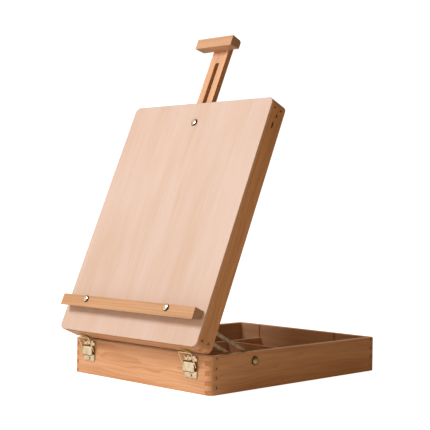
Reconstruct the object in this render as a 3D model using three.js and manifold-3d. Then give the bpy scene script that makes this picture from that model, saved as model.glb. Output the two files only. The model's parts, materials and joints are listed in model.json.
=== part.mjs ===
// Table-top sketch-box easel: a finger-jointed tray with a tilting lid that is the drawing board,
// a sliding canvas mast behind the board, a canvas ledge, two slotted stays and two draw latches.
// Millimetres, +Z up. The origin is the centre of the tray's underside; the ledge faces -Y.
import * as THREE from "three";
import { mergeVertices } from "three/addons/utils/BufferGeometryUtils.js";
import Module from "manifold-3d";

const wasm = await Module();
wasm.setup();

// ---- Driving dimensions -------------------------------------------------------------------

// the closed box
const box_width = 330;
const box_depth = 425;
const base_height = 60;
const lid_frame_depth = 30;
const panel_thickness = 6;
const wall = 12;
const corner_radius = 10;
const base_fingers = 8;
const lid_fingers = 4;
const finger_play = 0.2;
const gap = 0.3;
const lid_seam = 0.4;
const overcut = 1;

// the tray's bottom and dividers
const bottom_thickness = 4;
const bottom_rebate = 6;
const divider_thickness = 5;
const divider_height = 35;
const groove_depth = 2.5;
const brush_tray_width = 48;
const cross_divider_from_back = 105;
const rear_cell_width = 69;

// the lid turns about a line just in front of the tray's front rim
const hinge_out = 2.45;
const hinge_up = 1.1;
const lid_open_deg = 66.65;
const lid_further_deg = 2;

// the mast, its head, guides and clamp
const mast_width = 36.5;
const mast_thickness = 10.3;
const mast_slot_width = 8.6;
const mast_head_above_lid = 101.5;
const mast_slot_corner = 1;
const mast_slot_web = 19.5;
const mast_foot_web = 22;
const mast_slot_slack = 1;
const mast_travel_up = 110;
const mast_play = 0.4;
const head_width = 85;
const head_depth = 22;
const head_height = 19;
const head_back_height = 15;
const head_chamfer = 3;
const guide_width = 12;
const guide_depth = 9;
const guide_length = 110;
const mast_bolt_below_top = 38;
const mast_bolt_radius = 3;
const mast_bolt_head_radius = 6.5;
const mast_washer_radius = 9;
const head_screw_offset = 10;
const head_screw_into_head = 12;
const head_screw_head_radius = 3.4;
const head_screw_head_height = 1.6;

// the canvas ledge
const ledge_end_margin = 6;
const ledge_bottom = 37;
const ledge_height = 20;
const ledge_back_height = 13.5;
const ledge_depth = 19;
const ledge_bolt_offset = 97;
const ledge_bolt_below_top = 6;
const ledge_bolt_radius = 2.5;
const ledge_bolt_head_radius = 6;

// the stays: each turns on a screw in the lid and slides over a clamp bolt in the tray's side
const stay_pin_up_lid = 30;
const stay_pin_above_rim = 11;
const stay_bolt_from_front = 99.4;
const stay_bolt_below_rim = 14.1;
const stay_rest_deg = 27.8;
const stay_width = 18.6;
const stay_slot_width = 11.2;
const stay_thickness = 2;
const stay_side_gap = 0.5;
const stay_slot_start = 20;
const stay_slot_slack = 6;
const stay_bolt_radius = 2;
const stay_bolt_head_radius = 7.25;
const stay_washer_radius = 10;
const stay_pin_radius = 2.5;
const stay_pin_head_radius = 5;
const stay_pin_head_height = 2.2;
const stay_pin_in_rail = 8;
const stay_pin_hole_depth = 9;

// the draw latches
const latch_offset = 123;
const latch_sheet = 1.2;
const plate_half_width = 13.5;
const plate_bottom = 23.5;
const plate_top = 57.5;
const plate_corner = 2;
const plate_screw_inset = 4;
const ear_width = 3.5;
const ear_height = 2;
const ear_rise = 1.8;
const ear_side_inset = 0.5;
const ear_top_inset = 0.4;
const sheet_overlap = 0.2;
const pin_height = 47;
const pin_out = 4.2;
const pin_radius = 1.2;
const pin_stub = 0.2;
const knuckle_radius = 2.2;
const knuckle_half = 11.2;
const cheek_outer = 12.4;
const cheek_half_height = 2.8;
const cheek_nose = 2.4;
const lever_bottom = 33;
const lever_shoulder = 42.8;
const lever_half_width = 12.2;
const lever_corner = 1.6;
const flange_half_height = 2.2;
const flange_back = 1.4;
const flange_below_shoulder = 0.4;
const bail_pivot_height = 40.5;
const bail_pivot_out = 3.6;
const bail_top_height = 63.6;
const bail_top_out = 15;
const bail_half_width = 13.7;
const bail_radius = 0.9;
const bail_corner = 2.4;
const bail_foot_bend = 1.4;
const bail_foot_inset = 0.6;
const catch_half_width = 7;
const catch_low = 6;
const catch_high = 19;
const catch_lip_out = 4.5;
const catch_lip_height = 3;
const catch_sheet = 1;
const catch_screw_below_top = 4.5;

// fasteners
const bore_play = 0.2;
const dome_height_share = 0.5;
const washer_thickness = 1.2;
const nut_hub_radius = 4.6;
const nut_height = 6;
const wing_reach = 12;
const wing_height = 9;
const wing_sheet = 2.2;
const wing_root = 1.5;
const wing_lift = 0.8;
const wing_tip_radius = 2.5;
const hex_radius = 4.6;
const hex_height = 4;
const hub_taper = 0.78;
const dome_edge_share = 0.15;
const dome_rings = 5;
const wood_screw_radius = 1.3;
const wood_screw_hole_depth = 9;
const low_screw_head_radius = 2.6;
const low_screw_head_height = 1.3;
const top_screw_head_radius = 4;
const plate_screw_length = 9;
const catch_screw_head_radius = 2.2;
const catch_screw_head_height = 0.5;
const catch_screw_length = 8;
const round_sides = 20;
const screw_sides = 16;
const small_hole_sides = 12;

// ---- Materials ----------------------------------------------------------------------------

function finish(color, roughness, metalness) {
  return new THREE.MeshStandardMaterial({ color, roughness, metalness });
}
const beech = finish(0xcf9a66, 0.55, 0);
const beech_ply = finish(0xe9cbb4, 0.5, 0);
const beech_inside = finish(0x9a6a48, 0.6, 0);
const brass = finish(0xd8c27a, 0.25, 1);
const nickel = finish(0xb9b4a4, 0.25, 1);
const steel = finish(0x8d8c80, 0.4, 1);

// ---- Solids -------------------------------------------------------------------------------

// A closed three.js geometry as a solid that can be cut and joined.
function solid(geometry) {
  const bare = geometry.index ? geometry.toNonIndexed() : geometry.clone();
  bare.deleteAttribute("normal");
  bare.deleteAttribute("uv");
  const merged = mergeVertices(bare, 1e-4);
  const vertProperties = new Float32Array(merged.attributes.position.array);
  const triVerts = new Uint32Array(merged.index.array);
  return new wasm.Manifold(new wasm.Mesh({ numProp: 3, vertProperties, triVerts }));
}

// A box between two corners.
function block(x0, x1, y0, y1, z0, z1) {
  const g = new THREE.BoxGeometry(x1 - x0, y1 - y0, z1 - z0);
  return solid(g.translate((x0 + x1) / 2, (y0 + y1) / 2, (z0 + z1) / 2));
}

// A round bar from one end to the other along x, y or z.
function rod(axis, radius, from, to, a, b, sides = round_sides) {
  const g = new THREE.CylinderGeometry(radius, radius, to - from, sides);
  const mid = (from + to) / 2;
  if (axis === "x") return solid(g.rotateZ(-Math.PI / 2).translate(mid, a, b));
  if (axis === "y") return solid(g.translate(a, mid, b));
  return solid(g.rotateX(Math.PI / 2).translate(a, b, mid));
}

// A turned piece: the profile is [radius, height] pairs from the bottom of the axis to its top.
function turned(profile, sides = round_sides) {
  const points = profile.map(([r, h]) => new THREE.Vector2(r, h));
  return solid(new THREE.LatheGeometry(points, sides).rotateX(Math.PI / 2));
}

// A flat outline in a plane, extruded upwards from z0 to z1.
function slab(shape, z0, z1, curve_steps = 6) {
  const settings = { depth: z1 - z0, bevelEnabled: false, curveSegments: curve_steps };
  return solid(new THREE.ExtrudeGeometry(shape, settings).translate(0, 0, z0));
}

function polygon(points) {
  return new THREE.Shape(points.map(([x, y]) => new THREE.Vector2(x, y)));
}

// A rectangle with round corners.
function round_rectangle(x0, x1, y0, y1, r) {
  const s = new THREE.Shape();
  s.moveTo(x0 + r, y0);
  s.lineTo(x1 - r, y0);
  s.absarc(x1 - r, y0 + r, r, -Math.PI / 2, 0);
  s.lineTo(x1, y1 - r);
  s.absarc(x1 - r, y1 - r, r, 0, Math.PI / 2);
  s.lineTo(x0 + r, y1);
  s.absarc(x0 + r, y1 - r, r, Math.PI / 2, Math.PI);
  s.lineTo(x0, y0 + r);
  s.absarc(x0 + r, y0 + r, r, Math.PI, 1.5 * Math.PI);
  return s;
}

// Turns a solid that was drawn upwards along z so that it points along another axis, then moves it.
function placed(piece, turn, x, y, z) {
  return piece.rotate(turn).translate([x, y, z]);
}

const points_front = [90, 0, 0]; // +z of the drawing comes to point along -y
const points_right = [0, 90, 0]; // +z comes to point along +x
const points_left = [0, -90, 0]; // +z comes to point along -x
const points_down = [180, 0, 0];

function add(parent, name, piece, material) {
  const mesh = piece.getMesh();
  const indexed = new THREE.BufferGeometry();
  indexed.setAttribute("position", new THREE.BufferAttribute(mesh.vertProperties, 3));
  indexed.setIndex(new THREE.BufferAttribute(mesh.triVerts, 1));
  const geometry = indexed.toNonIndexed();
  geometry.computeVertexNormals();
  const node = new THREE.Mesh(geometry, material);
  node.name = name;
  parent.add(node);
  return node;
}

// ---- Frame --------------------------------------------------------------------------------

const half_width = box_width / 2;
const half_depth = box_depth / 2;
const front = -half_depth;
const inner_x = half_width - wall;
const inner_y = half_depth - wall;

const easel = new THREE.Group();

// The lid is drawn closed: x across, v from its lower edge to its top edge, w out of its rim.
const lid_axis = new THREE.Group();
lid_axis.position.set(0, front - hinge_out, base_height + hinge_up);
lid_axis.rotation.x = THREE.MathUtils.degToRad(lid_open_deg);
easel.add(lid_axis);
const lid = new THREE.Group();
lid.position.set(0, hinge_out, lid_seam - hinge_up);
lid_axis.add(lid);

// ---- Finger-jointed frames ----------------------------------------------------------------

// The four boards of a box frame with rounded corners, from height z_first to z_last. The boards
// along x own the odd fingers, counted from z_first, and the boards along y own the even ones.
function finger_frame(y_low, z_first, z_last, fingers) {
  const y_high = y_low + box_depth;
  const z0 = Math.min(z_first, z_last);
  const z1 = Math.max(z_first, z_last);
  const below = z0 - overcut;
  const above = z1 + overcut;
  const outer = round_rectangle(-half_width, half_width, y_low, y_high, corner_radius);
  const room = block(-inner_x, inner_x, y_low + wall, y_high - wall, below, above);
  const ring = slab(outer, z0, z1).subtract(room);

  const step = (z_last - z_first) / fingers;
  const fingers_across = [];
  const fingers_along = [];
  for (let i = 0; i < fingers; i++) {
    const from = Math.min(z_first + i * step, z_first + (i + 1) * step);
    const to = from + Math.abs(step);
    const low = from > z0 ? from + finger_play / 2 : below;
    const high = to < z1 ? to - finger_play / 2 : above;
    const owner = i % 2 ? fingers_along : fingers_across;
    owner.push([low, high]);
  }

  // A board's middle and its fingers, as spans from end to end.
  const past_x = half_width + overcut;
  const spans_across = fingers_across.map(([low, high]) => [-past_x, past_x, low, high]);
  spans_across.push([-inner_x + finger_play, inner_x - finger_play, below, above]);
  const spans_along = fingers_along.map(([low, high]) => [y_low - overcut, y_high + overcut, low, high]);
  spans_along.push([y_low + wall + finger_play, y_high - wall - finger_play, below, above]);

  const across = (y0, y1) => spans_across.map(([a, b, low, high]) => block(a, b, y0, y1, low, high));
  const along = (x0, x1) => spans_along.map(([a, b, low, high]) => block(x0, x1, a, b, low, high));
  const masks = [across(y_low - overcut, y_low + wall), across(y_high - wall, y_high + overcut),
    along(-past_x, -inner_x), along(inner_x, past_x)];
  return masks.map((boxes) => ring.intersect(boxes.reduce((whole, box) => whole.add(box))));
}

// ---- Fasteners, drawn along z with the head's underside at z = 0 --------------------------

function dome_bolt(head_radius, shank_radius, shank_length) {
  const rise = head_radius * dome_height_share;
  const profile = [[0, -shank_length], [shank_radius, -shank_length], [shank_radius, 0]];
  const edge = dome_edge_share * rise;
  profile.push([head_radius, 0], [head_radius, edge]);
  for (let i = 1; i < dome_rings; i++) {
    const a = (i / dome_rings) * (Math.PI / 2);
    profile.push([head_radius * Math.cos(a), edge + (rise - edge) * Math.sin(a)]);
  }
  profile.push([0, rise]);
  return turned(profile);
}

function flat_screw(head_radius, head_height, shank_radius, shank_length) {
  const profile = [[0, -shank_length], [shank_radius, -shank_length], [shank_radius, 0]];
  profile.push([head_radius, 0], [head_radius, 0.5 * head_height]);
  profile.push([0.7 * head_radius, head_height], [0, head_height]);
  return turned(profile, screw_sides);
}

function washer(radius, bore_radius) {
  const disc = rod("z", radius, 0, washer_thickness, 0, 0);
  return disc.subtract(rod("z", bore_radius + bore_play, -overcut, washer_thickness + overcut, 0, 0));
}

// A wing nut: a hub that tapers away from its seat, with two upright wings.
function wing_nut(bore_radius) {
  const top_radius = hub_taper * nut_hub_radius;
  const hub = turned([[0, 0], [nut_hub_radius, 0], [top_radius, nut_height], [0, nut_height]]);
  const wing = new THREE.Shape();
  wing.moveTo(wing_root, wing_lift);
  wing.lineTo(top_radius, wing_lift);
  wing.lineTo(wing_reach - wing_tip_radius / 2, wing_height / 2);
  wing.absarc(wing_reach - wing_tip_radius, wing_height - wing_tip_radius, wing_tip_radius, 0, 0.8 * Math.PI);
  wing.lineTo(wing_root, nut_height - wing_lift);
  const sheet = slab(wing, -wing_sheet / 2, wing_sheet / 2, 5).rotate([90, 0, 0]);
  const both = hub.add(sheet).add(sheet.rotate([0, 0, 180]));
  return both.subtract(rod("z", bore_radius + bore_play, -overcut, wing_height + overcut, 0, 0));
}

function hex_nut(bore_radius) {
  const hex = rod("z", hex_radius, 0, hex_height, 0, 0, 6);
  return hex.subtract(rod("z", bore_radius + bore_play, -overcut, hex_height + overcut, 0, 0));
}

// ---- Tray ---------------------------------------------------------------------------------

const long_divider_x = -inner_x + brush_tray_width + divider_thickness / 2;
const cross_divider_y = half_depth - cross_divider_from_back;
const rear_divider_x = inner_x - rear_cell_width - divider_thickness / 2;
const groove_half = divider_thickness / 2 + gap;
const stay_bolt_y = front + stay_bolt_from_front;
const stay_bolt_z = base_height - stay_bolt_below_rim;

const tray_boards = finger_frame(front, base_height, 0, base_fingers);
let [base_front, base_back, base_left, base_right] = tray_boards;

// The rebate that the bottom sits in.
const bottom_x = inner_x + bottom_rebate;
const bottom_y = inner_y + bottom_rebate;
const rebate = block(-bottom_x, bottom_x, -bottom_y, bottom_y, -overcut, bottom_thickness);

// Grooves for the divider ends, which run up to the rim so that the dividers drop in.
const groove_top = base_height + overcut;
function end_groove(x, y_wall, y_out) {
  const y0 = Math.min(y_wall, y_out);
  const y1 = Math.max(y_wall, y_out);
  return block(x - groove_half, x + groove_half, y0, y1, bottom_thickness, groove_top);
}
const front_groove = end_groove(long_divider_x, -inner_y + overcut, -inner_y - groove_depth);
const back_grooves = end_groove(long_divider_x, inner_y - overcut, inner_y + groove_depth)
  .add(end_groove(rear_divider_x, inner_y - overcut, inner_y + groove_depth));
const side_groove = block(inner_x - overcut, inner_x + groove_depth,
  cross_divider_y - groove_half, cross_divider_y + groove_half, bottom_thickness, groove_top);

// The holes for the stays' clamp bolts.
const bolt_hole = rod("x", stay_bolt_radius + bore_play, -box_width, box_width, stay_bolt_y, stay_bolt_z);

base_front = base_front.subtract(rebate).subtract(front_groove);
base_back = base_back.subtract(rebate).subtract(back_grooves);
base_left = base_left.subtract(rebate).subtract(bolt_hole);
base_right = base_right.subtract(rebate).subtract(side_groove).subtract(bolt_hole);

// The latch plates' screw holes in the front board.
const screw_hole_radius = wood_screw_radius + bore_play;
const plate_screws = [plate_bottom + plate_screw_inset, plate_top - plate_screw_inset];
for (const x of [-latch_offset, latch_offset]) {
  for (const z of plate_screws) {
    const hole = rod("y", screw_hole_radius, front - overcut, front + wood_screw_hole_depth, x, z);
    base_front = base_front.subtract(hole);
  }
}

add(easel, "base_front_board", base_front, beech);
add(easel, "base_back_board", base_back, beech);
add(easel, "base_left_board", base_left, beech);
add(easel, "base_right_board", base_right, beech);

const bottom = block(-bottom_x + gap, bottom_x - gap, -bottom_y + gap, bottom_y - gap,
  0, bottom_thickness - gap);
add(easel, "base_bottom_panel", bottom, beech_inside);

const tray_floor = bottom_thickness + gap;
const divider_half = divider_thickness / 2;
const into_groove = groove_depth - gap;
add(easel, "long_divider", block(long_divider_x - divider_half, long_divider_x + divider_half,
  -inner_y - into_groove, inner_y + into_groove, tray_floor, divider_height), beech_inside);
add(easel, "cross_divider", block(long_divider_x + divider_half + gap, inner_x + into_groove,
  cross_divider_y - divider_half, cross_divider_y + divider_half, tray_floor, divider_height), beech_inside);
add(easel, "rear_divider", block(rear_divider_x - divider_half, rear_divider_x + divider_half,
  cross_divider_y + divider_half + gap, inner_y + into_groove, tray_floor, divider_height), beech_inside);

// ---- Lid: frame, drawing board, mast guides ------------------------------------------------

const lid_depth = lid_frame_depth + panel_thickness;
const panel_back = lid_frame_depth;
const mast_front_w = panel_back - mast_play;
const mast_back_w = mast_front_w - mast_thickness;
const mast_half = mast_width / 2;
const mast_bolt_v = box_depth - mast_bolt_below_top;
const ledge_bolt_v = ledge_bottom + ledge_height - ledge_bolt_below_top;

let [lid_bottom, lid_top, lid_left, lid_right] = finger_frame(0, panel_back, 0, lid_fingers);
const mast_notch = block(-mast_half - mast_play, mast_half + mast_play, box_depth - wall - overcut,
  box_depth + overcut, mast_back_w - mast_play, panel_back + overcut);
lid_top = lid_top.subtract(mast_notch);

const pin_hole_end = inner_x + stay_pin_hole_depth;
const pin_hole = rod("x", stay_pin_radius + bore_play, -pin_hole_end, pin_hole_end,
  stay_pin_up_lid, stay_pin_above_rim);
lid_left = lid_left.subtract(pin_hole);
lid_right = lid_right.subtract(pin_hole);

const catch_screw_w = catch_high - catch_screw_below_top;
for (const x of [-latch_offset, latch_offset]) {
  const hole = rod("y", screw_hole_radius, -overcut, wood_screw_hole_depth, x, catch_screw_w);
  lid_bottom = lid_bottom.subtract(hole);
}

const panel_outline = round_rectangle(-half_width, half_width, 0, box_depth, corner_radius);
let panel = slab(panel_outline, panel_back + gap, lid_depth);
panel = panel.subtract(rod("z", mast_bolt_radius + bore_play, 0, lid_depth + overcut, 0, mast_bolt_v));
for (const x of [-ledge_bolt_offset, ledge_bolt_offset]) {
  const hole = rod("z", ledge_bolt_radius + bore_play, 0, lid_depth + overcut, x, ledge_bolt_v);
  panel = panel.subtract(hole);
}

add(lid, "lid_bottom_rail", lid_bottom, beech);
add(lid, "lid_top_rail", lid_top, beech);
add(lid, "lid_left_rail", lid_left, beech);
add(lid, "lid_right_rail", lid_right, beech);
add(lid, "drawing_board", panel, beech_ply);

const guide_top = box_depth - wall - gap;
for (const [name, side] of [["mast_guide_left", -1], ["mast_guide_right", 1]]) {
  const near = mast_half + mast_play;
  const x0 = Math.min(side * near, side * (near + guide_width));
  const guide = block(x0, x0 + guide_width, guide_top - guide_length, guide_top,
    panel_back - guide_depth, panel_back - gap / 2);
  add(lid, name, guide, beech);
}

// ---- Mast: it slides along v between its guides ---------------------------------------------

const head_bottom = box_depth + mast_head_above_lid;
const slot_top = head_bottom - mast_slot_web;
const slot_bottom = mast_bolt_v - mast_travel_up - mast_bolt_radius - mast_slot_slack;
const mast_foot = slot_bottom - mast_foot_web;
const slot_half = mast_slot_width / 2;
const head_v = head_bottom + head_height / 2;

const mast_outline = polygon([[-mast_half, mast_foot], [mast_half, mast_foot],
  [mast_half, head_bottom + head_height], [-mast_half, head_bottom + head_height]]);
const mast_slot = round_rectangle(-slot_half, slot_half, slot_bottom, slot_top, mast_slot_corner);
let mast = slab(mast_outline, mast_back_w, mast_front_w);
mast = mast.subtract(slab(mast_slot, mast_back_w - overcut, mast_front_w + overcut));

// The head's section: a flat top with its back edge eased, and an underside that rises to the back.
const head_back_w = mast_front_w + gap;
const head_top = head_bottom + head_height;
const head_section = polygon([[head_back_w, head_top - head_back_height],
  [head_back_w + head_depth, head_bottom], [head_back_w + head_depth, head_top],
  [head_back_w + head_chamfer, head_top], [head_back_w, head_top - head_chamfer]]);
// A section drawn as (w, v) becomes a moulding that runs along x.
function moulding(section, x0, x1) {
  return slab(section, x0, x1).transform([0, 0, 1, 0, 0, 1, 0, 0, 1, 0, 0, 0, 0, 0, 0, 1]);
}
let head = moulding(head_section, -head_width / 2, head_width / 2);

const head_screw_length = mast_thickness + head_screw_into_head;
for (const [name, side] of [["head_screw_left", -1], ["head_screw_right", 1]]) {
  const x = side * head_screw_offset;
  const hole = rod("z", screw_hole_radius, mast_back_w - overcut,
    mast_back_w + head_screw_length + overcut, x, head_v);
  mast = mast.subtract(hole);
  head = head.subtract(hole);
  const screw = flat_screw(head_screw_head_radius, head_screw_head_height, wood_screw_radius,
    head_screw_length - gap);
  add(lid, name, placed(screw, points_down, x, head_v, mast_back_w - gap), brass);
}
add(lid, "mast", mast, beech);
add(lid, "mast_head", head, beech);

// The clamp: a domed bolt through board and slot, with a washer and a wing nut behind.
const clamp_seat = mast_back_w - gap;
const clamp_nut_seat = clamp_seat - washer_thickness - gap;
const mast_bolt_length = lid_depth + 2 * gap - clamp_nut_seat + nut_height;
const clamp_bolt = dome_bolt(mast_bolt_head_radius, mast_bolt_radius, mast_bolt_length);
const clamp_washer = washer(mast_washer_radius, mast_bolt_radius);
const clamp_nut = wing_nut(mast_bolt_radius);
add(lid, "mast_clamp_bolt", clamp_bolt.translate([0, mast_bolt_v, lid_depth + gap]), nickel);
add(lid, "mast_clamp_washer", placed(clamp_washer, points_down, 0, mast_bolt_v, clamp_seat), brass);
add(lid, "mast_wing_nut", placed(clamp_nut, points_down, 0, mast_bolt_v, clamp_nut_seat), brass);

// ---- Canvas ledge ---------------------------------------------------------------------------

const ledge_back_w = lid_depth + gap;
const ledge_top = ledge_bottom + ledge_height;
const ledge_section = polygon([[ledge_back_w, ledge_top - ledge_back_height],
  [ledge_back_w + ledge_depth, ledge_bottom], [ledge_back_w + ledge_depth, ledge_top],
  [ledge_back_w, ledge_top]]);
const ledge_half = half_width - ledge_end_margin;
let ledge = moulding(ledge_section, -ledge_half, ledge_half);
const ledge_front_w = ledge_back_w + ledge_depth;
const ledge_bolt_length = ledge_depth + panel_thickness + hex_height + 3 * gap;
for (const [name, side] of [["left", -1], ["right", 1]]) {
  const x = side * ledge_bolt_offset;
  const hole = rod("z", ledge_bolt_radius + bore_play, ledge_back_w - overcut,
    ledge_front_w + overcut, x, ledge_bolt_v);
  ledge = ledge.subtract(hole);
  const bolt = dome_bolt(ledge_bolt_head_radius, ledge_bolt_radius, ledge_bolt_length);
  add(lid, "ledge_bolt_" + name, bolt.translate([x, ledge_bolt_v, ledge_front_w + gap]), nickel);
  const nut = hex_nut(ledge_bolt_radius);
  add(lid, "ledge_nut_" + name, placed(nut, points_down, x, ledge_bolt_v, panel_back - gap), brass);
}
add(lid, "canvas_ledge", ledge, beech);

// ---- Stays, their lid screws and their clamp bolts ------------------------------------------

const stay_outer = inner_x - stay_side_gap;
const stay_inner = stay_outer - stay_thickness;

// The stay's screw with the lid at its furthest, and from there to the clamp bolt.
const furthest = THREE.MathUtils.degToRad(lid_open_deg + lid_further_deg);
const pin_v = stay_pin_up_lid + hinge_out;
const pin_w = stay_pin_above_rim + lid_seam - hinge_up;
const pin_y = front - hinge_out + pin_v * Math.cos(furthest) - pin_w * Math.sin(furthest);
const pin_z = base_height + hinge_up + pin_v * Math.sin(furthest) + pin_w * Math.cos(furthest);
const stay_reach = Math.hypot(stay_bolt_y - pin_y, stay_bolt_z - pin_z);

const stay_slot_end = stay_reach + stay_slot_slack;
const stay_end = stay_slot_end + (stay_width - stay_slot_width) / 2;
const stay_half = stay_width / 2;

// The bar is drawn flat: its lid screw at the origin and its length along x.
function stay_bar() {
  const outline = new THREE.Shape();
  outline.absarc(0, 0, stay_half, Math.PI / 2, 1.5 * Math.PI);
  outline.absarc(stay_end - stay_half, 0, stay_half, -Math.PI / 2, Math.PI / 2);
  const bar = slab(outline, 0, stay_thickness, 10);
  const r = stay_slot_width / 2;
  const slot = new THREE.Shape();
  slot.absarc(stay_slot_start + r, 0, r, Math.PI / 2, 1.5 * Math.PI);
  slot.absarc(stay_slot_end - r, 0, r, -Math.PI / 2, Math.PI / 2);
  const pin_bore = rod("z", stay_pin_radius + bore_play, -overcut, stay_thickness + overcut, 0, 0);
  return bar.subtract(slab(slot, -overcut, stay_thickness + overcut, 8)).subtract(pin_bore);
}

for (const [name, side, outwards, inwards] of
  [["left", -1, points_left, points_right], ["right", 1, points_right, points_left]]) {
  // In the lid's own frame the bar leaves its screw at the opening angle less its angle at rest.
  const bar = stay_bar().transform([0, 1, 0, 0, 0, 0, 1, 0, 1, 0, 0, 0, 0, 0, 0, 1])
    .rotate([-stay_rest_deg - lid_open_deg, 0, 0]);
  const x0 = side > 0 ? stay_inner : -stay_outer;
  add(lid, "stay_" + name, bar.translate([x0, stay_pin_up_lid, stay_pin_above_rim]), steel);

  const pin_seat = side * (stay_inner - gap);
  const pin_length = stay_thickness + stay_side_gap + gap + stay_pin_in_rail;
  const pin = flat_screw(stay_pin_head_radius, stay_pin_head_height, stay_pin_radius, pin_length);
  add(lid, "stay_screw_" + name,
    placed(pin, inwards, pin_seat, stay_pin_up_lid, stay_pin_above_rim), brass);

  const washer_seat = stay_inner - gap;
  const nut_seat = washer_seat - washer_thickness - gap;
  const bolt_length = half_width + gap - (nut_seat - nut_height);
  const bolt = dome_bolt(stay_bolt_head_radius, stay_bolt_radius, bolt_length);
  const bolt_x = side * (half_width + gap);
  add(easel, "stay_clamp_bolt_" + name, placed(bolt, outwards, bolt_x, stay_bolt_y, stay_bolt_z), brass);
  const disc = washer(stay_washer_radius, stay_bolt_radius);
  add(easel, "stay_washer_" + name,
    placed(disc, inwards, side * washer_seat, stay_bolt_y, stay_bolt_z), brass);
  add(easel, "stay_wing_nut_" + name,
    placed(wing_nut(stay_bolt_radius), inwards, side * nut_seat, stay_bolt_y, stay_bolt_z), brass);
}

// ---- Draw latches, drawn about the middle of the latch on the front board's face -----------

const plate_face = -gap - latch_sheet;
const pin_hole_x = box_width / 2;

// A flat sheet with round corners, drawn as x and z, whose back is at y.
function upright_sheet(half_wide, z0, z1, corner, y) {
  const outline = round_rectangle(-half_wide, half_wide, z0, z1, corner);
  return slab(outline, 0, latch_sheet, 3).rotate([90, 0, 0]).translate([0, y, 0]);
}

// The base plate, with two cheeks for the lever's pin and two ears at its top corners.
function latch_plate() {
  let whole = upright_sheet(plate_half_width, plate_bottom, plate_top, plate_corner, -gap);
  const into_plate = plate_face + sheet_overlap;
  const cheek_low = pin_height - cheek_half_height;
  const cheek_high = pin_height + cheek_half_height;
  const ear_high = plate_top - ear_top_inset;
  for (const side of [-1, 1]) {
    const inside = knuckle_half + gap;
    const cheek_x = side > 0 ? inside : -cheek_outer;
    const ear_outer = plate_half_width - ear_side_inset;
    const ear_x = side > 0 ? ear_outer - ear_width : -ear_outer;
    const cheek = block(cheek_x, cheek_x + cheek_outer - inside, -pin_out - cheek_nose, into_plate,
      cheek_low, cheek_high);
    const ear = block(ear_x, ear_x + ear_width, plate_face - ear_rise, into_plate,
      ear_high - ear_height, ear_high);
    whole = whole.add(cheek).add(ear);
  }
  for (const z of plate_screws) {
    const hole = rod("y", screw_hole_radius, plate_face - overcut, overcut, 0, z, small_hole_sides);
    whole = whole.subtract(hole);
  }
  return whole.subtract(lever_pin(pin_radius + bore_play, pin_hole_x));
}

function lever_pin(radius, half_length) {
  return rod("x", radius, -half_length, half_length, -pin_out, pin_height, small_hole_sides);
}

// The lever: a sheet that curls round the pin, with two flanges that hold the bail's feet.
function latch_lever() {
  const outer = -pin_out - knuckle_radius;
  const inner = outer + latch_sheet;
  const neck = block(-knuckle_half, knuckle_half, outer, inner, lever_shoulder - sheet_overlap, pin_height);
  const face = upright_sheet(lever_half_width, lever_bottom, lever_shoulder, lever_corner, inner);
  const knuckle = rod("x", knuckle_radius, -knuckle_half, knuckle_half, -pin_out, pin_height, screw_sides);
  let whole = neck.add(face).add(knuckle);
  for (const side of [-1, 1]) {
    const x0 = side > 0 ? lever_half_width - latch_sheet : -lever_half_width;
    const flange = block(x0, x0 + latch_sheet, inner - sheet_overlap, flange_back - bail_pivot_out,
      bail_pivot_height - flange_half_height, lever_shoulder - flange_below_shoulder);
    whole = whole.add(flange);
  }
  const bail_holes = rod("x", bail_radius + bore_play, -pin_hole_x, pin_hole_x, -bail_pivot_out,
    bail_pivot_height, small_hole_sides);
  return whole.subtract(lever_pin(pin_radius + bore_play, pin_hole_x)).subtract(bail_holes);
}

// The bail: one wire bent into a hoop whose feet turn inwards through the lever's flanges.
function latch_bail() {
  const foot_x = lever_half_width - latch_sheet - bail_foot_inset;
  const foot = (side) => new THREE.Vector3(side * foot_x, -bail_pivot_out, bail_pivot_height);
  const hip = (side) => new THREE.Vector3(side * bail_half_width, -bail_pivot_out, bail_pivot_height);
  const crown = (side) => new THREE.Vector3(side * bail_half_width, -bail_top_out, bail_top_height);
  const corners = [foot(-1), hip(-1), crown(-1), crown(1), hip(1), foot(1)];
  const bends = [bail_foot_bend, bail_corner, bail_corner, bail_foot_bend];
  const path = new THREE.CurvePath();
  let at = corners[0];
  bends.forEach((bend, i) => {
    const corner = corners[i + 1];
    const before = corner.clone().add(corners[i].clone().sub(corner).setLength(bend));
    const after = corner.clone().add(corners[i + 2].clone().sub(corner).setLength(bend));
    path.add(new THREE.LineCurve3(at, before));
    path.add(new THREE.QuadraticBezierCurve3(before, corner, after));
    at = after;
  });
  path.add(new THREE.LineCurve3(at, corners[5]));
  const wire = new THREE.Shape();
  wire.absarc(0, 0, bail_radius, 0, 2 * Math.PI);
  const settings = { extrudePath: path, steps: 44, curveSegments: 4, bevelEnabled: false };
  return solid(new THREE.ExtrudeGeometry(wire, settings));
}

// The catch on the lid's lower rail: a plate whose low edge turns out and up as a hook.
function latch_catch() {
  const w = catch_half_width;
  const face = -gap - catch_sheet;
  const plate = block(-w, w, face, -gap, catch_low, catch_high);
  const shelf = block(-w, w, -catch_lip_out, face + sheet_overlap, catch_low, catch_low + catch_sheet);
  const lip_high = catch_low + catch_lip_height;
  const lip = block(-w, w, -catch_lip_out, catch_sheet - catch_lip_out, catch_low, lip_high);
  const hole = rod("y", screw_hole_radius, face - overcut, overcut, 0, catch_screw_w, small_hole_sides);
  return plate.add(shelf).add(lip).subtract(hole);
}

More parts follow.
